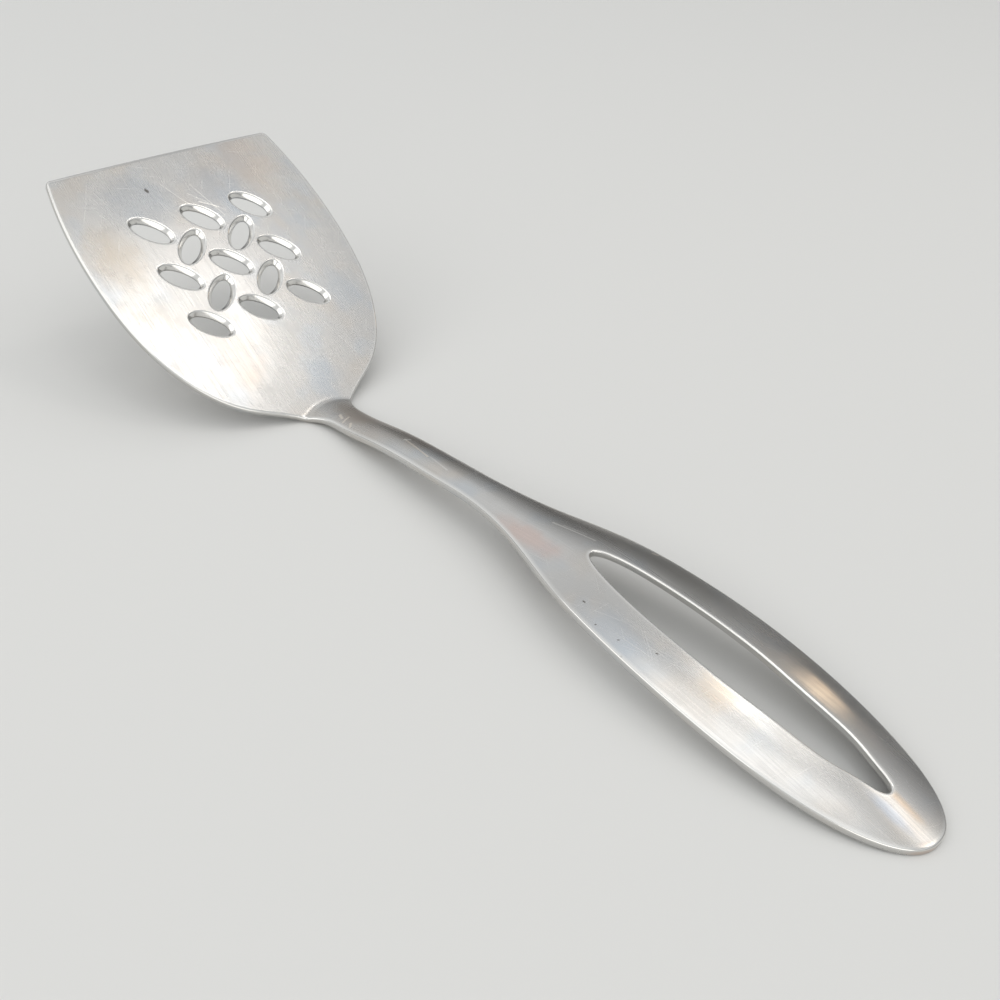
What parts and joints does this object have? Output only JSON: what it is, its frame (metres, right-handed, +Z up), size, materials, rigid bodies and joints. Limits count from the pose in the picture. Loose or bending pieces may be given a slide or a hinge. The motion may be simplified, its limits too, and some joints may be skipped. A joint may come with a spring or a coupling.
{
  "type": "serving spatula",
  "caption": "Slotted metal serving spatula bent from sheet: flat rounded blade with oval drain holes, narrow neck and an arched oval handle with a long slot.",
  "frame": {"origin": "on the table under the middle of the box around the spatula as it lies, on the plane of symmetry of the outline", "axes": "+X from the blade to the tail of the handle, with the blade at negative X; +Y across; +Z up, out of the table that the bend and the tail rest on"},
  "size_m": [0.2795, 0.0822, 0.0523],
  "materials": {
    "satin_steel": "satin stainless steel, worn, with bright rounded edges"
  },
  "bodies": {
    "root": {"spatula": "satin_steel"}
  },
  "joints": []
}
